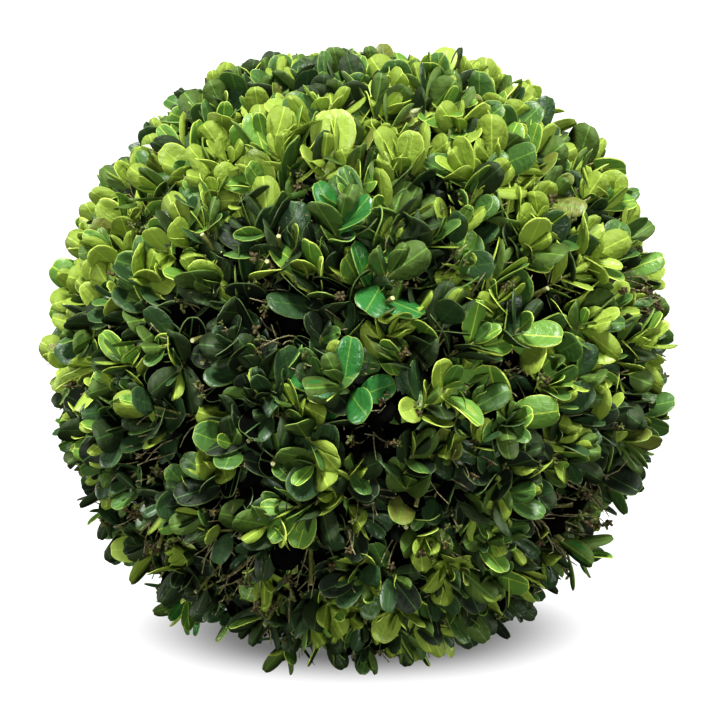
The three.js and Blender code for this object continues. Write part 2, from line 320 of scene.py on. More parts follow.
boughs = []
for mass in masses:
    root = stem_middle(mass["bough_root"])
    bend = mass["bough_tip"] - BOUGH_BEND * mass["arrival"]
    is_side_bough = mass["name"] != "top"
    first = BOUGH_SUNK / (mass["bough_tip"] - root).length if is_side_bough else 0
    shares = np.linspace(first, 1, BOUGH_RINGS + 1)
    middles = [curve(root, bend, mass["bough_tip"], share) for share in shares]
    radii = [BOUGH_ROOT_RADIUS + (BOUGH_TIP_RADIUS - BOUGH_ROOT_RADIUS) * s for s in shares]
    bough = grown_limb(f"bough_{mass['name']}_bark", middles, radii, BOUGH_SIDES)
    bark_relief(bough, levels=1, depth=0.0002, grain=700)
    boughs.append(bough)
boughs = joined_pieces("boughs_bark", boughs)

bark = bark_finish()
for limb in (stem, boughs):
    limb.data.materials.clear()
    limb.data.materials.append(bark)
    smooth(limb)
    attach(limb, "root")
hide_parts("main_stem")
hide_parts(*[f"bough_{mass['name']}" for mass in masses])

# ------------------
# The way the ball is clipped. The clipping isn't quite even: it is fuller in some places and
# flatter in others, and every shoot stops a little short of it or just at it.
GROWTH_SEED = 33
CLIP_RADIUS = 0.1269
MOST_PAST = 0.0036  # leaves that grew since the last clipping reach this far past it
GROUND_GAP = 0.0006
UNEVEN = [  # azimuth and elevation in degrees, and how much fuller the ball is there
    (5, 19, 0.0018),
    (20, 60, 0.0020),
    (-90, 82, -0.0012),
    (160, 58, 0.0018),
    (190, -42, 0.0020),
    (90, 78, -0.0045),
    (176, 18, -0.0025),
    (-3, -32, -0.0040),
    (-90, -68, 0.0028),
]
UNEVEN_WIDTH = 22  # degrees
WAVES = 0.0024  # of smaller, seeded unevenness
WAVE_GRAIN = 4.6

random = np.random.default_rng(GROWTH_SEED)
centre = np.array(BALL_CENTRE)


def unit(vectors):
    return vectors / np.linalg.norm(vectors, axis=-1, keepdims=True)


def nearness(directions, azimuth, elevation, width):
    """1 for a direction that is the given one, and less the more degrees it lies off."""
    angle = np.arccos(np.clip(directions @ direction_of(azimuth, elevation), -1, 1))
    return np.exp(-((angle / np.radians(width)) ** 2))


def clip_radius(directions):
    """How far from the ball's centre the clipping runs, in each of some directions."""
    radius = np.full(len(directions), CLIP_RADIUS)
    for azimuth, elevation, amount in UNEVEN:
        radius += amount * nearness(directions, azimuth, elevation, UNEVEN_WIDTH)
    waves = [noise.noise(Vector(direction) * WAVE_GRAIN) for direction in directions]
    radius += WAVES * np.array(waves)
    to_ground = (BALL_CENTRE.z - GROUND_GAP) / np.maximum(-directions[:, 2], 1e-6)
    return np.minimum(radius, to_ground)


# ------------------
# The shoots. Each mass's stem forks into branchlets inside the ball, and each branchlet into the
# shoots that come out of it all round. Neighbouring shoots lean the same way, a few vigorous ones
# outgrow the rest, and some died back, which leaves small gaps.
SHOOT_COUNT = 1200
BRANCHLET_COUNT = 88
FORK_RADIUS = 0.066  # from the ball's centre to the fork of a mass's stem
BRANCHLET_RADIUS = 0.076  # and to the forks of its branchlets
KNEE_RADIUS = 0.088  # past this a shoot runs nearly straight to its tip
TIP_DEPTH = (0.0080, 0.0190)  # a shoot's tip lies this far inside the clipping
FOOT_JITTER = 0.0050
LEAN_REACH = 0.035  # a lean of 1 shifts a shoot's tip by this much
LEAN = 0.75  # neighbours lean this much the same way
LEAN_GRAIN = 2.4
FAR_APART = Vector((31.7, 11.3, 0))
OWN_LEAN = 0.60  # and each shoot by itself leans this much
LIFT = 0.38  # shoots turn this much towards the light
STEM_HOLE = 0.019  # no leaf of the lower half comes this near the stem's axis
VIGOROUS_AT = [  # azimuth and elevation of sprigs that outgrew the rest
    (-95, 33),
    (-76, 37),
    (-83, 24),
    (-92, 8),
    (-34, -29),
    (-156, -50),
    (40, 30),
    (75, 8),
    (110, 48),
    (150, 12),
]
VIGOROUS_WIDTH = 3.4  # degrees round each
VIGOROUS_EXTRA = 0.002  # they reach this much further out
VIGOROUS_SCALE = 1.14
VIGOROUS_SPREAD = 1.2
GAPS_AT = [  # azimuth, elevation and width in degrees of places where the sprigs died back
    (-41, -14, 7),
    (-47, -31, 5),
    (-88, -54, 5),
    (-66, -39, 4),
    (-122, -30, 4),
    (-150, -28, 4),
]
GOLDEN_ANGLE = np.pi * (3 - np.sqrt(5))


def golden_directions(count):
    """Directions spread evenly all round."""
    heights = 1 - (2 * np.arange(count) + 1) / count
    across = np.sqrt(1 - heights**2)
    turns = np.arange(count) * GOLDEN_ANGLE
    return np.column_stack([np.cos(turns) * across, np.sin(turns) * across, heights])


def nearest(directions, choices):
    return np.argmax(directions @ choices.T, axis=1)


def drift(direction):
    """A push that is much the same for neighbours: one noise, read at three places far apart."""
    place = Vector(direction) * LEAN_GRAIN
    return [noise.noise(place + axis * FAR_APART) for axis in range(3)]


mass_directions = np.array([mass["direction"] for mass in masses])
branchlet_directions = golden_directions(BRANCHLET_COUNT)
branchlet_mass = nearest(branchlet_directions, mass_directions)

knees = golden_directions(SHOOT_COUNT) * KNEE_RADIUS
knees = unit(knees + FOOT_JITTER * random.uniform(-1, 1, knees.shape))
leans = np.array([drift(knee) for knee in knees])
leans = LEAN * leans + OWN_LEAN * random.normal(size=knees.shape) + LIFT * np.array(UP)
leans -= np.sum(leans * knees, axis=1, keepdims=True) * knees
tip_directions = unit(knees * KNEE_RADIUS + leans * LEAN_REACH)
depths = random.uniform(*TIP_DEPTH, SHOOT_COUNT)


def lies_near(azimuth, elevation, width):
    """Which shoots' tips lie within a width, in degrees, of a direction."""
    return tip_directions @ direction_of(azimuth, elevation) > np.cos(np.radians(width))


vigorous = np.zeros(SHOOT_COUNT, bool)
for azimuth, elevation in VIGOROUS_AT:
    vigorous |= lies_near(azimuth, elevation, VIGOROUS_WIDTH)
depths[vigorous] = TIP_DEPTH[0] - VIGOROUS_EXTRA
tips = centre + tip_directions * (clip_radius(tip_directions) - depths)[:, None]
knee_points = centre + knees * KNEE_RADIUS

over_stem = np.hypot(tips[:, 0], tips[:, 1]) < STEM_HOLE
kept = ~(over_stem & (tips[:, 2] < BALL_CENTRE.z))
for azimuth, elevation, width in GAPS_AT:
    kept &= ~lies_near(azimuth, elevation, width)
knees, knee_points, tips, vigorous = knees[kept], knee_points[kept], tips[kept], vigorous[kept]
shoot_mass = nearest(knees, mass_directions)
shoot_branchlet = np.zeros(len(tips), int)
for m in range(len(masses)):
    own, its_branchlets = np.flatnonzero(shoot_mass == m), np.flatnonzero(branchlet_mass == m)
    picked = nearest(knees[own], branchlet_directions[its_branchlets])
    shoot_branchlet[own] = its_branchlets[picked]
roots = centre + branchlet_directions[shoot_branchlet] * BRANCHLET_RADIUS


def on_shoots(shares):
    """Points on every shoot at some shares of its length, and the directions that it has there."""
    s = np.asarray(shares)[..., None]
    start, bend, end = roots[:, None], knee_points[:, None], tips[:, None]
    return curve(start, bend, end, s), unit((bend - start) * (1 - s) + (end - bend) * s)


# ------------------
# A box leaf, modelled a few times over: a blade that is broadest past its middle, with a short
# stalk, a blunt and faintly notched tip, a raised midrib and a thickened margin. It is glossy
# above and paler and matt beneath. All its sizes here are shares of its length.
LEAF_THICKNESS = 0.016
MARGIN_SLOPE = 0.014  # the underside is this much shorter and narrower
SLOPE_ABOUT = (0.3, 0, 0)
SLOPE_HALF_WIDTH = 0.33
RIB_HALF_WIDTH = 0.014
STALK_HALF_WIDTH = 0.035
BLADE, RIB, MARGIN, UNDERSIDE = range(4)
LEAF_FORMS = {  # half width, where it is widest, cup and droop
    "spoon": (0.310, 0.60, 0.075, -0.03),
    "broad": (0.335, 0.57, 0.030, 0.06),
    "oval": (0.285, 0.53, -0.035, 0.10),
    "curled": (0.315, 0.60, -0.070, 0.24),
    "folded": (0.255, 0.56, 0.120, 0.04),
    "young": (0.235, 0.60, 0.080, -0.08),
}
WEDGE_POWER = 0.9
OVAL_POWER = 2.3
LEAF_ROWS = [0.0, 0.10, 0.22, 0.37, 0.53, 0.69, 0.81, 0.89, 0.945]  # odd ones: margin only
ROW_STEPS = len(LEAF_ROWS) - 1
RIB_COLUMN, MID_COLUMN = 0.2, 0.6  # the grid's columns, before the leaf is shaped
MID_SHARE = 0.58  # the blade's middle column lies this far out to its margin
MID_RISE = 0.34
TIP_REACH = 0.045
TIP_NOTCH = 0.006
PLAIN_ROWS = [  # of the plain leaf: place in the grid, half width, and place in the leaf
    (0, 0.04, 0),
    (1 / 3, 0.25, 0.33),
    (2 / 3, 0.33, 0.70),
    (1, 0.18, 0.97),
]
PLAIN_CUP = 0.05


def choose(thing, chosen):
    """In edit mode, selects just the vertices with these numbers."""
    bpy.ops.mesh.select_all(action="DESELECT")
    bpy.ops.object.mode_set(mode="OBJECT")
    for vertex in thing.data.vertices:
        vertex.select = vertex.index in chosen
    bpy.ops.object.mode_set(mode="EDIT")
    bpy.ops.mesh.select_mode(type="VERT")


def where(thing, test):
    """The numbers of the vertices whose place passes a test."""
    bpy.ops.object.mode_set(mode="OBJECT")
    found = {vertex.index for vertex in thing.data.vertices if test(vertex.co)}
    bpy.ops.object.mode_set(mode="EDIT")
    return found


def leaf_grid(name, columns, rows):
    """A flat grid one unit long and two wide, with its root at the origin, in edit mode."""
    deselect_all()
    bpy.ops.mesh.primitive_grid_add(x_subdivisions=rows, y_subdivisions=columns, size=1)
    leaf = bpy.context.object
    leaf.name = name
    leaf.location, leaf.scale = (0.5, 0, 0), (1, 2, 1)
    bpy.ops.object.transform_apply()
    bpy.ops.object.mode_set(mode="EDIT")
    return leaf


def blade_half_width(half_width, widest, place):
    """The blade's outline: a wedge up to its widest, and a blunt oval end past it."""
    if place < widest:
        wedge = np.cos((1 - place / widest) * np.pi / 2) ** WEDGE_POWER
        return max(half_width * wedge, STALK_HALF_WIDTH)
    past = (place - widest) / (1 - widest)
    return half_width * (1 - past**OVAL_POWER) ** (1 / OVAL_POWER)


def modelled_leaf(name, half_width, widest, cup, droop):
    leaf = leaf_grid(name, 5, 4)
    choose(leaf, where(leaf, lambda co: abs(co.y) > 0.9))
    bpy.ops.mesh.subdivide(number_cuts=1)
    for side in (-1, 1):
        choose(leaf, where(leaf, lambda co, side=side: co.x < 0.01 and co.y * side > 0))
        bpy.ops.mesh.merge(type="CENTER")
    bpy.ops.object.mode_set(mode="OBJECT")
    places = {vertex.index: (vertex.co.x, abs(vertex.co.y)) for vertex in leaf.data.vertices}
    bpy.ops.object.mode_set(mode="EDIT")
    ribs = {i for i, (along, across) in places.items() if across < 0.3}
    mids = {i for i, (along, across) in places.items() if 0.3 < across < 0.9}
    margins = set(places) - ribs - mids
    for row, place in enumerate(LEAF_ROWS):
        own = {i for i, (along, across) in places.items() if abs(along * ROW_STEPS - row) < 0.1}
        half = blade_half_width(half_width, widest, place)
        fullness = (half / half_width) ** 2
        shape_column(leaf, own & ribs, RIB_HALF_WIDTH / RIB_COLUMN, 0)
        if row == 0:
            shape_column(leaf, own & mids, STALK_HALF_WIDTH / MID_COLUMN, 0)
        else:
            mid_size = half * MID_SHARE / MID_COLUMN
            shape_column(leaf, own & mids, mid_size, cup * fullness * MID_RISE)
        shape_column(leaf, own & margins, half, cup * fullness)
        choose(leaf, own)
        bpy.ops.transform.translate(value=(place - row / ROW_STEPS, 0, -droop * place**2))
    # the blunt tip: the middle of the last row goes forward, and the midrib's end makes a notch
    last = {i for i, (along, across) in places.items() if along > 0.99}
    choose(leaf, last - margins)
    bpy.ops.transform.translate(value=(TIP_REACH, 0, 0))
    choose(leaf, last & ribs)
    bpy.ops.transform.translate(value=(-TIP_NOTCH, 0, 0))
    bpy.ops.object.mode_set(mode="OBJECT")
    for _ in (BLADE, RIB, MARGIN, UNDERSIDE):
        leaf.data.materials.append(None)
    for face in leaf.data.polygons:
        face.material_index = RIB if abs(face.center.y) < 0.005 else BLADE
    thicken(leaf, mids)
    return leaf


def shape_column(leaf, chosen, size, rise):
    """Widens or narrows chosen vertices about the leaf's middle line, and raises them."""
    if chosen:
        choose(leaf, chosen)
        bpy.ops.transform.resize(value=(1, size, 1), center_override=(0, 0, 0))
        bpy.ops.transform.translate(value=(0, 0, rise))


def thicken(leaf, mids):
    """Gives the blade its thickness, with a sloping margin and a simpler underside."""
    outline = outline_of(leaf.data)
    top_count = len(leaf.data.vertices)
    top_faces = len(leaf.data.polygons)
    wall = leaf.modifiers.new("thickness", "SOLIDIFY")
    wall.thickness = LEAF_THICKNESS
    wall.offset = -1
    wall.material_offset = UNDERSIDE
    wall.material_offset_rim = MARGIN
    bpy.context.view_layer.objects.active = leaf
    bpy.ops.object.modifier_apply(modifier=wall.name)
    for i, face in enumerate(leaf.data.polygons):
        is_rim = i >= 2 * top_faces
        face.use_smooth = not is_rim
        is_rib = abs(face.center.y) < 0.005
        if i >= top_faces:
            face.material_index = MARGIN if is_rim else RIB if is_rib else UNDERSIDE
    bpy.ops.object.mode_set(mode="EDIT")
    choose(leaf, outline)
    inward = 1 - MARGIN_SLOPE / SLOPE_HALF_WIDTH
    bpy.ops.transform.resize(value=(1 - MARGIN_SLOPE, inward, 1), center_override=SLOPE_ABOUT)
    choose(leaf, {i + top_count for i in mids})
    bpy.ops.mesh.dissolve_edges(use_verts=True)
    bpy.ops.mesh.select_all(action="SELECT")
    bpy.ops.mesh.remove_doubles(threshold=1e-5)
    bpy.ops.object.mode_set(mode="OBJECT")


def outline_of(mesh):
    """The vertices on the open edge of a mesh."""
    uses = {}
    for face in mesh.polygons:
        for key in face.edge_keys:
            uses[key] = uses.get(key, 0) + 1
    return {i for key, count in uses.items() if count == 1 for i in key}


def plain_leaf(name):
    """The leaf of few faces that stands deep in the ball, where only its shape shows."""
    leaf = leaf_grid(name, 2, 3)
    for place, half_width, new_place in PLAIN_ROWS:
        choose(leaf, where(leaf, lambda co, place=place: abs(co.x - place) < 0.01))
        bpy.ops.transform.resize(value=(1, half_width, 1), center_override=(place, 0, 0))
        bpy.ops.transform.translate(value=(new_place - place, 0, 0))
    choose(leaf, where(leaf, lambda co: abs(co.y) > 0.15))
    bpy.ops.transform.translate(value=(0, 0, PLAIN_CUP))
    bpy.ops.mesh.select_all(action="SELECT")
    bpy.ops.mesh.duplicate_move(TRANSFORM_OT_translate={"value": (0, 0, 0)})
    bpy.ops.mesh.flip_normals()
    bpy.ops.object.mode_set(mode="OBJECT")
    half_count = len(leaf.data.vertices) // 2
    inner = {
        vertex.index
        for vertex in leaf.data.vertices
        if vertex.index >= half_count and abs(vertex.co.y) < 0.01 and 0.1 < vertex.co.x < 0.9
    }
    bpy.ops.object.mode_set(mode="EDIT")
    choose(leaf, inner)
    bpy.ops.transform.translate(value=(0, 0, -LEAF_THICKNESS))
    bpy.ops.mesh.select_all(action="SELECT")
    bpy.ops.mesh.remove_doubles(threshold=1e-4)
    bpy.ops.object.mode_set(mode="OBJECT")
    smooth(leaf)
    return leaf


def template_of(thing):
    """A modelled thing's mesh as arrays, for copying many times. The thing itself goes."""
    mesh = thing.data
    template = {
        "vertices": np.array([vertex.co for vertex in mesh.vertices]),
        "corners": np.array([i for face in mesh.polygons for i in face.vertices]),
        "sizes": np.array([len(face.vertices) for face in mesh.polygons]),
        "materials": np.array([face.material_index for face in mesh.polygons]),
        "smooth": np.array([face.use_smooth for face in mesh.polygons]),
    }
    bpy.data.objects.remove(thing)
    bpy.data.meshes.remove(mesh)
    return template


leaf_templates = [template_of(modelled_leaf(name, *form)) for name, form in LEAF_FORMS.items()]
FORM_NAMES = list(LEAF_FORMS)
leaf_templates.append(template_of(plain_leaf("plain")))
PLAIN = len(leaf_templates) - 1

# ------------------
# Where the leaves stand. They sit in opposite pairs, each pair a quarter turn from the last, small
# and upright at the shoot's tip and wider spread below. A leaf that would lie in another is turned
# until it lies clear, and is left out if it never does, or if it would pass the clipping.
LEAF_LENGTH = 0.0175
LEAF_SPREAD_OF_SIZE = 0.12
BIGGER_UP = 0.12  # the leaves are this much larger at the top than half way up
PAIRS = [  # metres back from the tip, share of the full length, and degrees off the shoot
    (0.0004, 0.64, 16),
    (0.0030, 0.88, 30),
    (0.0068, 1.02, 42),
    (0.0115, 1.04, 52),
    (0.0175, 1.00, 62),
    (0.0250, 0.92, 70),
]
FINE_PAIRS = 4  # the pairs nearest the tip, which show
TRIES = 9  # for each leaf, ever more turned and smaller
LATER_COST = 0.01  # what each further try counts against it
LAST_SMALLER = 0.22
SWING = 38  # degrees that the last try may be turned each way
OWN_SWING = np.array([12, 10, 20])  # degrees about the shoot, off it, and about the leaf's length
ANGLES = (0.15, 1.75)  # the least and the most radians off the shoot
STEEP = 48  # leaves that stand closer to the shoot than this, in degrees, may twist round
TWISTED_SHARE = 0.6
TO_LIGHT = 0.35  # how far a leaf's face turns outwards and up from its shoot
UPWARDS = 0.05
CELL = 0.0015  # of the grid that tells which space the leaves have taken
MOST_CROSSED = 0.17  # the share of a leaf that may lie in cells that are taken
OUT_OF_BOUNDS = 9.0
LOWEST_CORNER = 0.0030  # so that the cupped and drooping leaves stay clear of the ground too
TWIST = 0.22  # radians that a turn from pair to pair is off a quarter, much the same on one shoot
SCALES = (0.74, 1.18)  # the sizes of a shoot's leaves
SPREADS = (0.7, 1.4)  # and how far they spread
OWN_SIZES = (0.9, 1.08)  # and each leaf's own size
BEHIND_KNEE = 0.012  # a shoot's length before its knee
CURVE_RATE = 1.5  # a shoot's curve runs this much faster near the tip

GRID_HALF = 0.142
grid_low = centre - GRID_HALF
grid_size = int(2 * GRID_HALF / CELL) + 2
taken = np.zeros((grid_size,) * 3, np.int32)
samples = np.array(  # points all over a leaf one unit long
    [
        (along, across, 0.0)
        for along in np.linspace(0.26, 0.97, 9)
        for across in np.linspace(-0.29, 0.29, 7)
        if abs(across) < blade_half_width(0.30, 0.58, along)
    ]
)
corners = np.array(  # and its outermost points
    [
        (1.0, 0.0, 0.0),
        (0.86, 0.3, 0.03),
        (0.86, -0.3, 0.03),
        (0.6, 0.36, 0.0),
        (0.6, -0.36, 0.0),
    ]
)


def leaf_tries(joint, way, side, across, spread, length):
    """The tries for one leaf: arrays of the leaf's three own axes, scaled to its length."""
    loose = np.linspace(0, 1, TRIES)
    swings = random.uniform(-1, 1, (3, TRIES)) * np.radians(SWING) * loose
    swings += random.normal(0, 1, (3, 1)) * np.radians(OWN_SWING)[:, None]
    about, tip_over, roll = swings
    outer = np.cos(about)[:, None] * side + np.sin(about)[:, None] * across
    angle = np.clip(np.radians(spread) + tip_over, *ANGLES)
    along = np.cos(angle)[:, None] * way + np.sin(angle)[:, None] * outer
    outward = unit(joint - centre + np.array([0, 0, UPWARDS]))
    face = np.sin(angle)[:, None] * way - np.cos(angle)[:, None] * outer + TO_LIGHT * outward
    face = unit(face - np.sum(face * along, axis=1, keepdims=True) * along)
    if spread < STEEP and random.uniform() < TWISTED_SHARE:
        face = -face
    sideways = np.cross(face, along)
    turned = np.cos(roll)[:, None] * sideways + np.sin(roll)[:, None] * face
    face = np.cross(along, turned)
    lengths = (length * (1 - LAST_SMALLER * loose * random.uniform(0, 1, TRIES)))[:, None, None]
    return np.stack([along, turned, face], axis=2) * lengths


def cells_of(points):
    return tuple(np.moveaxis(((points - grid_low) / CELL).astype(int), -1, 0))


def leaf_that_fits(joint, tries, number, most_radius):
    """The first try that lies clear, or the clearest, as a matrix. None if all cross too much."""
    ends = joint + corners @ np.swapaxes(tries, 1, 2)
    outside = np.linalg.norm(ends - centre, axis=2).max(axis=1) > most_radius
    outside |= ends[:, :, 2].min(axis=1) < LOWEST_CORNER
    low = (ends[:, :, 2] < BALL_CENTRE.z) & (np.hypot(ends[:, :, 0], ends[:, :, 1]) < STEM_HOLE)
    outside |= low.any(axis=1)
    points = joint + samples @ np.swapaxes(tries, 1, 2)
    crossed = (taken[cells_of(np.clip(points, grid_low, centre + GRID_HALF))] > 0).mean(axis=1)
    cost = crossed + OUT_OF_BOUNDS * outside + LATER_COST * np.arange(TRIES)
    best = int(np.argmin(cost))
    if cost[best] > MOST_CROSSED + LATER_COST * TRIES:
        return None
    taken[cells_of(points[best])] = number
    return tries[best]


# the sprigs' own numbers: which way the first pair faces, its twist, and how large the leaves are
shoot_directions = unit(tips - centre)
first_turns = random.uniform(0, 2 * np.pi, len(tips))
twists = random.normal(0, TWIST, len(tips))
leaf_scales = random.normal(1, LEAF_SPREAD_OF_SIZE, len(tips)).clip(*SCALES)
leaf_scales *= 1 + BIGGER_UP * shoot_directions[:, 2]
leaf_scales[vigorous] = VIGOROUS_SCALE
spreads = random.uniform(*SPREADS, len(tips))
spreads[vigorous] = VIGOROUS_SPREAD
most_radii = clip_radius(shoot_directions) + MOST_PAST + VIGOROUS_EXTRA * vigorous
shoot_lengths = np.linalg.norm(tips - knee_points, axis=1) + BEHIND_KNEE

leaves = []
for pair, (back, size, spread) in enumerate(PAIRS):
    places, ways = on_shoots(np.clip(1 - back / (shoot_lengths * CURVE_RATE), 0, 1)[:, None])
    order = random.permutation(len(tips))
    for shoot in order[np.argsort(~vigorous[order], kind="stable")]:
        place, way = places[shoot, 0], ways[shoot, 0]
        helper = np.array([0, 0, 1.0]) if abs(way[2]) < 0.8 else np.array([1.0, 0, 0])
        first = unit(np.cross(way, helper))
        second = np.cross(way, first)
        for half in (0, 1):
            turn = first_turns[shoot] + pair * (np.pi / 2 + twists[shoot]) + half * np.pi
            side = np.cos(turn) * first + np.sin(turn) * second
            across = np.cross(way, side)
            length = LEAF_LENGTH * size * leaf_scales[shoot] * random.uniform(*OWN_SIZES)
            tries = leaf_tries(place, way, side, across, spread * spreads[shoot], length)
            fitted = leaf_that_fits(place, tries, len(leaves) + 1, most_radii[shoot])
            if fitted is not None:
                leaves.append((place, fitted, shoot, pair))

# ------------------
# The leaves' colours, dealt out by sprig: yellow-green at the top, fresh green about the middle,
# deep green low down and inside, and emerald on the few sprigs that outgrew the rest. The lighter
# top and darker bottom are partly the growth's own colour and partly painted light and shade, the
# near-black leaves deep inside are painted shade, and listed patches paint more light and shade.
# Every leaf has a waxy gloss, a fine unevenness of the blade, a lighter midrib and a paler margin,
# which is partly a painted edge highlight.
SHADES = ["light", "mid", "dark"]
TINTS = {  # a blade's colour, and the shade of its rib, margin and underside
    "lime": ((156, 180, 78), "light"),
    "fresh": ((110, 150, 66), "light"),
    "olive": ((122, 130, 62), "mid"),
    "mid": ((80, 114, 58), "mid"),
    "emerald": ((58, 120, 58), "mid"),
    "deep": ((58, 84, 52), "dark"),
    "dark": ((46, 56, 42), "dark"),
    # the oldest leaves, deep inside: near black, which is painted shade
    "old": ((9, 11, 7), "dark"),
}
OTHER_PARTS = {  # their roughness, and their colour in each shade
    "rib": (0.45, (176, 200, 84), (112, 150, 66), (72, 104, 54)),
    # the margin is paler than its blade: partly its own tone, partly a painted edge highlight
    "margin": (0.45, (190, 208, 96), (132, 158, 74), (88, 108, 58)),
    "underside": (0.6, (138, 160, 64), (88, 112, 52), (54, 70, 40)),
}
ORDER = ["old", "dark", "deep", "mid", "fresh", "lime"]  # from shade to light
# Painted light and shade: patches where the sprigs' tints are made lighter or darker.
PAINTED_LIGHT_AND_SHADE = [  # azimuth, elevation, width in degrees, and how much lighter it is painted
    (-128, 26, 12, 0.20),
    (-120, 55, 20, 0.05),
    (-176, 67, 26, -0.70),
    (-112, 50, 15, 0.35),
    (-106, 57, 17, 0.45),
    (-75, 56, 14, 0.15),
    (-80, 37, 14, -0.50),
    (-48, 27, 26, 0.45),
    (-58, 36, 11, 0.55),
    (-63, 18, 11, -0.40),
    (-10, 22, 24, 0.35),
    (-172, 12, 24, 0.75),
    (-166, 12, 15, 0.80),
    (-107, 27, 18, -0.60),
    (-106, 8, 15, -0.40),
    (-75, 18, 18, -0.02),
    (-82, 3, 12, 0.25),
    (-122, -4, 20, -0.45),
    (-81, -16, 14, 0.90),
    (-30, -26, 20, -0.40),
    (-38, -8, 18, -0.55),
    (-62, -17, 13, -0.30),
    (-95, -48, 30, 0.35),
    (-122, -36, 18, 0.45),
    (60, 10, 30, -0.30),
    (110, 35, 30, 0.35),
    (0, 90, 34, -0.45),
    (-130, 76, 18, -0.05),
    (-26, 22, 14, -0.55),
    (-28, 4, 13, 0.60),
]
# The top is lighter and the bottom darker: partly the growth's own colour, partly painted light and
# shade.
TOP_LIGHTER = 0.75
PATCH_LIGHTER = 0.35
PATCH_GRAIN = 2.7
SCATTER = 0.26  # of lightness from sprig to sprig, and how much more of it there is low down
SCATTER_LOW = 1.1
OLIVE_SHARE = 0.06
OLIVE_LEAST = -0.3
STEPS = [-9.0, -9.0, -0.50, 0.25, 0.75, 1.15]  # the least lightness of each tint of ORDER
# The darker inner pairs are partly the leaves' own older colour and partly painted shade deep in
# the ball.
PAIR_STEPS = [1, 1, 0, -1, -3, -5]  # young leaves lighter, older ones darker, partly painted shade
TINT_STEPS = [-1, 0, 1, 2, 3]  # how a leaf's own tint may differ from its sprig's
TINT_CHANCES = [0.28, 0.42, 0.16, 0.10, 0.04]
MOST_LIGHTER = 3
EMERALD_SHARE = 0.8
FORM_CHANCES = [0.28, 0.30, 0.20, 0.12, 0.10]  # of the forms but the young one
BREADTHS = (0.92, 1.08)
NARROWER_LOW = 0.24  # the leaves that get little light are this much narrower
CUPS = (0.5, 1.5)  # a leaf's own cup and droop, as a share of its form's
GLOSS = {"emerald": (0.32, 0.25, 0.5), "dark": (0.5, 0.0, 0.2), "old": (0.8, 0.0, 0.05)}
OTHER_GLOSS = (0.38, 0.12, 0.4)  # roughness, coat and gloss


def leaf_finish(name, colour, roughness, coat=0.0, gloss=0.3):
    """A leaf's surface: plain colour, a waxy gloss and a fine quilting between the veins."""
    waxy = {"Coat_Weight": coat, "Coat_Roughness": 0.25, "Specular_IOR_Level": gloss}
    material, tree, shader = finish(name, Base_Color=linear(*colour), Roughness=roughness, **waxy)
    quilting = noise_of(tree, object_place(tree), 520, 3)
    drive(tree, shader, "Normal", bump(tree, quilting, 0.7, 0.0008))
    return material


leaf_materials = []
for tint, (rgb, _) in TINTS.items():
    leaf_materials.append(leaf_finish(f"leaf_{tint}", rgb, *GLOSS.get(tint, OTHER_GLOSS)))
for part, (roughness, *colours) in OTHER_PARTS.items():
    for shade, rgb in zip(SHADES, colours):
        leaf_materials.append(leaf_finish(f"leaf_{part}_{shade}", rgb, roughness))
materials_of_tint = {}
for i, (tint, (_, shade)) in enumerate(TINTS.items()):
    rib = len(TINTS) + SHADES.index(shade)
    materials_of_tint[tint] = [i, rib, rib + len(SHADES), rib + 2 * len(SHADES)]

patches = np.array([noise.noise(Vector(d) * PATCH_GRAIN) for d in shoot_directions])
scatter = SCATTER + SCATTER_LOW * np.maximum(0, -shoot_directions[:, 2])
lightness = TOP_LIGHTER * shoot_directions[:, 2] + PATCH_LIGHTER * patches
lightness += random.normal(0, scatter)
# painted light and shade in the listed patches
for azimuth, elevation, width, amount in PAINTED_LIGHT_AND_SHADE:
    lightness += amount * nearness(shoot_directions, azimuth, elevation, width)
shoot_step = np.searchsorted(STEPS, lightness, side="right") - 1
olive = ~vigorous & (random.uniform(size=len(tips)) < OLIVE_SHARE) & (lightness > OLIVE_LEAST)


def tint_of(shoot, pair):
    if pair < FINE_PAIRS and vigorous[shoot] and random.uniform() < EMERALD_SHARE:
        return "emerald"
    if pair < FINE_PAIRS - 1 and olive[shoot]:
        return "olive"
    step = shoot_step[shoot] + PAIR_STEPS[pair] + random.choice(TINT_STEPS, p=TINT_CHANCES)
    least = 1 if pair < FINE_PAIRS - 1 else 0
    most = min(len(ORDER) - 1, shoot_step[shoot] + MOST_LIGHTER)
    return ORDER[int(np.clip(step, least, most))]


def form_of(pair):
    if pair >= FINE_PAIRS:
        return PLAIN
    if pair == 0:
        return FORM_NAMES.index("young")
    return int(random.choice(len(FORM_CHANCES), p=FORM_CHANCES))


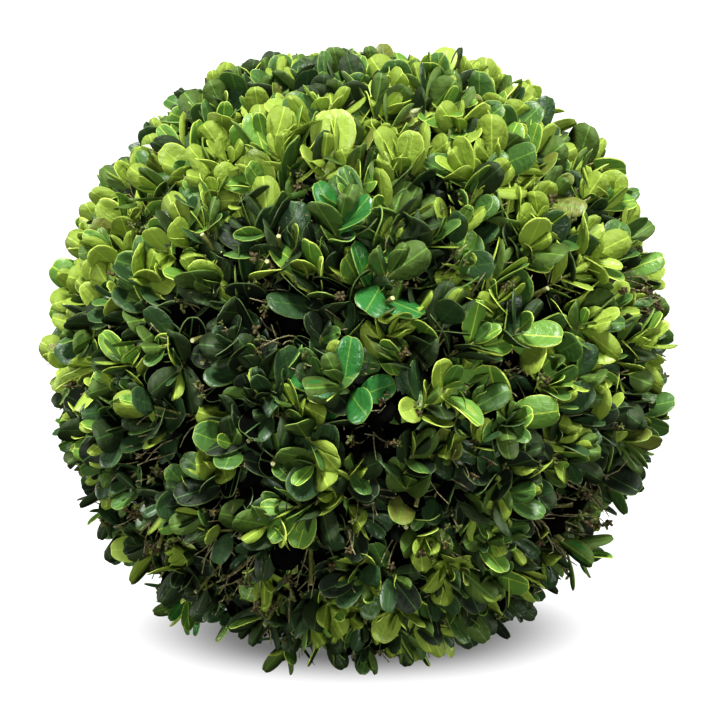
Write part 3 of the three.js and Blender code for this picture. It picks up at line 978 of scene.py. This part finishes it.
def joined_copies(name, copies, materials):
    """One mesh of many copies. A copy is (template, matrix, place, its material for each index)."""
    parts = {"vertices": [], "corners": [], "sizes": [], "materials": [], "smooth": []}
    offset = 0
    for template, matrix, place, own_materials in copies:
        parts["vertices"].append(template["vertices"] @ matrix.T + place)
        parts["corners"].append(template["corners"] + offset)
        parts["sizes"].append(template["sizes"])
        parts["materials"].append(np.asarray(own_materials)[template["materials"]])
        parts["smooth"].append(template["smooth"])
        offset += len(template["vertices"])
    whole = {label: np.concatenate(arrays) for label, arrays in parts.items()}
    mesh = bpy.data.meshes.new(name)
    mesh.vertices.add(offset)
    mesh.vertices.foreach_set("co", whole["vertices"].astype(np.float32).ravel())
    mesh.loops.add(len(whole["corners"]))
    mesh.loops.foreach_set("vertex_index", whole["corners"].astype(np.int32))
    mesh.polygons.add(len(whole["sizes"]))
    starts = np.concatenate([[0], np.cumsum(whole["sizes"])[:-1]])
    mesh.polygons.foreach_set("loop_start", starts.astype(np.int32))
    mesh.polygons.foreach_set("material_index", whole["materials"].astype(np.int32))
    mesh.polygons.foreach_set("use_smooth", whole["smooth"].astype(bool))
    for material in materials:
        mesh.materials.append(material)
    mesh.update(calc_edges=True)
    mesh.validate()
    piece = bpy.data.objects.new(name, mesh)
    bpy.context.scene.collection.objects.link(piece)
    return piece


copies_of_mass = [[] for _ in masses]
for place, matrix, shoot, pair in leaves:
    own = materials_of_tint[tint_of(shoot, pair)]
    template = leaf_templates[form_of(pair)]
    low = max(0, -shoot_directions[shoot, 2])
    breadth = random.uniform(*BREADTHS) - NARROWER_LOW * low
    reshaped = matrix * np.array([1, breadth, random.uniform(*CUPS)])
    copies_of_mass[shoot_mass[shoot]].append((template, reshaped, place, own))

for m, mass in enumerate(masses):
    piece = joined_copies(f"leaves_{mass['name']}", copies_of_mass[m], leaf_materials)
    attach(piece, "root")
    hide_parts(f"foliage_{mass['name']}")

# ------------------
# The twigs: each mass's stem, its branchlets and its shoots, some ends that the shears cut, and
# bare dry twiglets. One tapering twig is bent to each place. Young bark is green, older bark
# grey-brown, and dry bark pale.
TWIG_SIDES = 5
TWIG_STEPS = 5
MASS_STEM_RADIUS = 0.0020
BRANCHLET_THICKNESS = (0.0016, 0.0012)
SHOOT_THICKNESS = (0.0010, 0.0005)
STUB_COUNT = 110  # thicker twigs that end in a pale clipped cut
STUB_THICKNESS = (0.0010, 0.0009)
BARE_COUNT = 1150  # bare, dry, curling twiglets
BARE_THICKNESS = (0.00045, 0.00022)
CURL = 0.0048  # how far a bare twiglet strays from straight
HEAD_COUNT = 420  # dry flower heads, which the next section sets in open spots of their own
HEAD_DEPTH = (0.005, 0.016)  # how far inside the clipping these stand
BRANCHLET_BEND = 0.006  # a branchlet sets out along its mass's stem over this length
STUB_BEND = 0.7
TWIGLET_BEND = 0.6
TWIGLET_ROOTS = (0.35, 0.5, 0.65)  # the shares of a shoot's length where a twiglet may spring
NO_TWIG_WAY = np.array([0.31, 0.95, 0.05])  # no twig runs just this way
SPOT_TRIES = 30000
OPEN_STEPS = 8  # cells outwards from a spot that have to be free
LOWEST_SPOT = 0.012
OLD_WOOD, YOUNG_WOOD, DRY_WOOD, CUT_WOOD = range(4)


def modelled_twig():
    """A straight twig one unit long and one in radius, closed at its ends and ringed by cuts."""
    deselect_all()
    bpy.ops.mesh.primitive_cylinder_add(
        vertices=TWIG_SIDES, radius=1, depth=1, end_fill_type="NGON", location=(0, 0, 0.5)
    )
    twig = bpy.context.object
    bpy.ops.object.transform_apply()
    bpy.ops.object.mode_set(mode="EDIT")
    for step in range(1, TWIG_STEPS):
        bpy.ops.mesh.select_all(action="SELECT")
        bpy.ops.mesh.bisect(plane_co=(0, 0, step / TWIG_STEPS), plane_no=(0, 0, 1))
    bpy.ops.object.mode_set(mode="OBJECT")
    for _ in ("bark", "cut end"):
        twig.data.materials.append(None)
    for face in twig.data.polygons:
        face.use_smooth = abs(face.normal.z) < 0.5
        face.material_index = 1 if face.normal.z > 0.5 else 0
    return twig


twig_template = template_of(modelled_twig())


def bent_twig(start, bend, end, radii):
    """The twig's template laid along a curve from start to end."""
    share = twig_template["vertices"][:, 2:3]
    middle = curve(start, bend, end, share)
    way = unit((bend - start) * (1 - share) + (end - bend) * share + 1e-9)
    first = unit(np.cross(way, NO_TWIG_WAY))
    second = np.cross(way, first)
    radius = radii[0] + (radii[1] - radii[0]) * share
    ring = twig_template["vertices"][:, :2] * radius
    bent = dict(twig_template)
    bent["vertices"] = middle + first * ring[:, :1] + second * ring[:, 1:]
    return bent


def placed_twig(start, bend, end, radii, wood, end_wood=None):
    woods = [wood, wood if end_wood is None else end_wood]
    return bent_twig(start, bend, end, radii), np.eye(3), np.zeros(3), woods


def wood_finish(name, colour, dark, grain):
    """Twig bark or cut wood, streaked with a darker shade."""
    material, tree, shader = finish(name, Roughness=0.7)
    streaks = noise_of(tree, object_place(tree), grain, 4)
    stops = [(0.35, linear(*dark)), (0.65, linear(*colour))]
    drive(tree, shader, "Base Color", ramp(tree, streaks, stops))
    drive(tree, shader, "Normal", bump(tree, streaks, 0.4, 0.0003))
    return material


wood_materials = [
    wood_finish("twig_bark", (120, 104, 78), (62, 52, 38), 700),
    wood_finish("shoot_bark", (122, 128, 62), (84, 84, 42), 900),
    wood_finish("dry_twig_bark", (164, 158, 116), (92, 84, 56), 900),
    wood_finish("cut_wood", (204, 206, 160), (170, 168, 120), 1500),
]

# the spots for stubs, bare twiglets and flower heads are the gaps that are open to the outside
ways_out = unit(random.normal(size=(SPOT_TRIES, 3)))
depths_in = random.uniform(*HEAD_DEPTH, len(ways_out))
candidates = centre + ways_out * (clip_radius(ways_out) - depths_in)[:, None]
outward_steps = (np.arange(OPEN_STEPS) * CELL)[None, :, None] * ways_out[:, None]
free = (taken[cells_of(candidates[:, None] + outward_steps)] == 0).all(axis=1)
free &= candidates[:, 2] > LOWEST_SPOT
spots = candidates[free][: STUB_COUNT + BARE_COUNT + HEAD_COUNT]
along_shoots, _ = on_shoots(np.broadcast_to(TWIGLET_ROOTS, (len(tips), len(TWIGLET_ROOTS))))
spot_shoot = np.zeros(len(spots), int)
spot_root = np.zeros(spots.shape)
for n, spot in enumerate(spots):
    gaps = np.linalg.norm(along_shoots - spot, axis=2)
    spot_shoot[n], which = np.unravel_index(np.argmin(gaps), gaps.shape)
    spot_root[n] = along_shoots[spot_shoot[n], which]
curls = random.normal(0, CURL, spots.shape)

for m, mass in enumerate(masses):
    tip, direction = np.array(mass["bough_tip"]), np.array(mass["direction"])
    start = tip + SEAT_GAP * np.array(mass["arrival"])
    fork = centre + FORK_RADIUS * direction
    thickness = (BOUGH_TIP_RADIUS, MASS_STEM_RADIUS)
    placed = [placed_twig(start, (start + fork) / 2, fork, thickness, OLD_WOOD)]
    for b in np.flatnonzero(branchlet_mass == m):
        end = centre + BRANCHLET_RADIUS * branchlet_directions[b]
        bend = fork + BRANCHLET_BEND * direction
        placed.append(placed_twig(fork, bend, end, BRANCHLET_THICKNESS, OLD_WOOD))
    for shoot in np.flatnonzero(shoot_mass == m):
        ends = (roots[shoot], knee_points[shoot], tips[shoot])
        placed.append(placed_twig(*ends, SHOOT_THICKNESS, YOUNG_WOOD))
    for n in np.flatnonzero(shoot_mass[spot_shoot] == m):
        start, end = spot_root[n], spots[n]
        if n < STUB_COUNT:
            bend = start * (1 - STUB_BEND) + end * STUB_BEND
            placed.append(placed_twig(start, bend, end, STUB_THICKNESS, YOUNG_WOOD, CUT_WOOD))
        else:
            bend = start * (1 - TWIGLET_BEND) + end * TWIGLET_BEND + curls[n]
            placed.append(placed_twig(start, bend, end, BARE_THICKNESS, DRY_WOOD))
    piece = joined_copies(f"twigs_{mass['name']}", placed, wood_materials)
    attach(piece, "root")

# ------------------
# The dry flower heads: small clusters of brownish-green buds that stay on the plant after the
# spring. One head is modelled as a few pointed buds and copied, two together, into open gaps.
HEAD_SIZE = (0.0016, 0.0030)
BUDS_OF_HEAD = 5
HEADS_TOGETHER = 2
HEAD_JITTER = 0.0014
HEAD_TURNS = (0, 6.3)
BUD_RADIUS = 0.30
BUD_LENGTH = 1.7
BUD_OUT = (0.26, 0.05)  # the first bud's distance from the middle, and how much further each next


def modelled_head():
    """Small pointed buds that crowd round a common middle, about one unit across."""
    buds = []
    for i, way in enumerate(golden_directions(BUDS_OF_HEAD)):
        way = Vector(way)
        deselect_all()
        bpy.ops.mesh.primitive_uv_sphere_add(segments=4, ring_count=3, radius=BUD_RADIUS)
        bud = bpy.context.object
        bud.location = way * (BUD_OUT[0] + BUD_OUT[1] * i)
        bud.rotation_euler = UP.rotation_difference(way).to_euler()
        bud.scale = (1, 1, BUD_LENGTH)
        bpy.ops.object.transform_apply()
        buds.append(bud)
    head = joined_pieces("flower_head", buds)
    smooth(head)
    return head


head_template = template_of(modelled_head())
head_finishes = [
    wood_finish("flower_head_brown", (104, 92, 52), (50, 44, 26), 1200),
    wood_finish("flower_head_green", (112, 122, 58), (60, 66, 32), 1200),
]
heads = []
for spot in np.repeat(spots[STUB_COUNT + BARE_COUNT :], HEADS_TOGETHER, axis=0):
    spot = spot + random.normal(0, HEAD_JITTER, 3)
    turn = Matrix.Rotation(random.uniform(*HEAD_TURNS), 3, Vector(random.normal(size=3)))
    matrix = np.array(turn) * random.uniform(*HEAD_SIZE)
    heads.append((head_template, matrix, spot, [int(random.choice(2))]))
flower_heads = joined_copies("dry_flower_heads", heads, head_finishes)
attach(flower_heads, "root")

# ------------------
# The floor and the light: a white floor, with a soft shadow painted into its glow in an oval
# under the ball, one broad light high over the ball and a little in front of it, and weaker ones
# from the front, the sides and the back.
FLOOR_SIZE = 60
PAINTED_SHADOW_CENTRE = (0, -0.034, 0)  # in the oval's own measure, which is narrower from front to back
PAINTED_SHADOW_OVAL = (1, 1.54, 1)
PAINTED_SHADOW_RANGE = {"From Min": 0.052, "From Max": 0.112, "To Min": 0.15, "To Max": 1.0}
SKY_LIGHT = 0.055
GROUND_LIGHT = 0.035
SEEN_LIGHT = 1.2  # of the plain background
deselect_all()
bpy.ops.mesh.primitive_plane_add(size=FLOOR_SIZE, location=(0, 0, 0))
floor = bpy.context.object
floor.name = "floor"
matt = {"Roughness": 0.9, "Specular_IOR_Level": 0.0}
floor_finish, floor_tree, floor_shader = finish(
    "floor", Base_Color=(0.16, 0.16, 0.16), Emission_Strength=0.9, **matt
)
# the floor's glow is painted darker in an oval about the ball's foot: a painted shadow
oval = {"Vector": object_place(floor_tree), "Location": PAINTED_SHADOW_CENTRE, "Scale": PAINTED_SHADOW_OVAL}
about_foot = node(floor_tree, "ShaderNodeMapping", {}, oval)
length = {"operation": "LENGTH"}
from_foot = node(floor_tree, "ShaderNodeVectorMath", length, {0: about_foot}, output="Value")
soft_edge = {"interpolation_type": "SMOOTHSTEP"}
painted_shadow = node(floor_tree, "ShaderNodeMapRange", soft_edge, {"Value": from_foot, **PAINTED_SHADOW_RANGE})
drive(floor_tree, floor_shader, "Emission Color", painted_shadow)
floor.data.materials.append(floor_finish)
floor.visible_diffuse = False
floor.visible_glossy = False


def sun(name, strength, softness, azimuth, elevation):
    lamp = bpy.data.lights.new(name, "SUN")
    lamp.energy, lamp.angle = strength, np.radians(softness)
    holder = bpy.data.objects.new(name, lamp)
    bpy.context.scene.collection.objects.link(holder)
    towards = Vector(direction_of(azimuth, elevation))
    holder.rotation_euler = towards.to_track_quat("Z", "Y").to_euler()


sun("key_light", strength=4.6, softness=16, azimuth=-95, elevation=64)
sun("front_light", strength=2.1, softness=16, azimuth=-88, elevation=2)
sun("left_light", strength=1.9, softness=20, azimuth=172, elevation=9)
sun("right_light", strength=1.5, softness=20, azimuth=10, elevation=17)
sun("back_light", strength=1.5, softness=20, azimuth=90, elevation=22)

world = bpy.data.worlds.new("studio")
bpy.context.scene.world = world
world.use_nodes = True
sky = world.node_tree
background = sky.nodes["Background"]
above = node(sky, "ShaderNodeTexCoord", output="Generated")
height = node(sky, "ShaderNodeSeparateXYZ", {}, {"Vector": above}, output="Z")
stops = [(0.45, (GROUND_LIGHT,) * 3), (0.62, (SKY_LIGHT,) * 3)]
unseen = ramp(sky, height * 0.5 + 0.5, stops)
is_seen = node(sky, "ShaderNodeLightPath", output="Is Camera Ray")
inputs = {0: is_seen, 6: unseen, 7: (SEEN_LIGHT, SEEN_LIGHT, SEEN_LIGHT, 1)}
mixed = node(sky, "ShaderNodeMix", {"data_type": "RGBA"}, inputs, output=2)
sky.links.new(mixed.output, background.inputs["Color"])

bpy.context.scene.view_settings.view_transform = "Standard"
bpy.context.scene.view_settings.look = "Medium High Contrast"
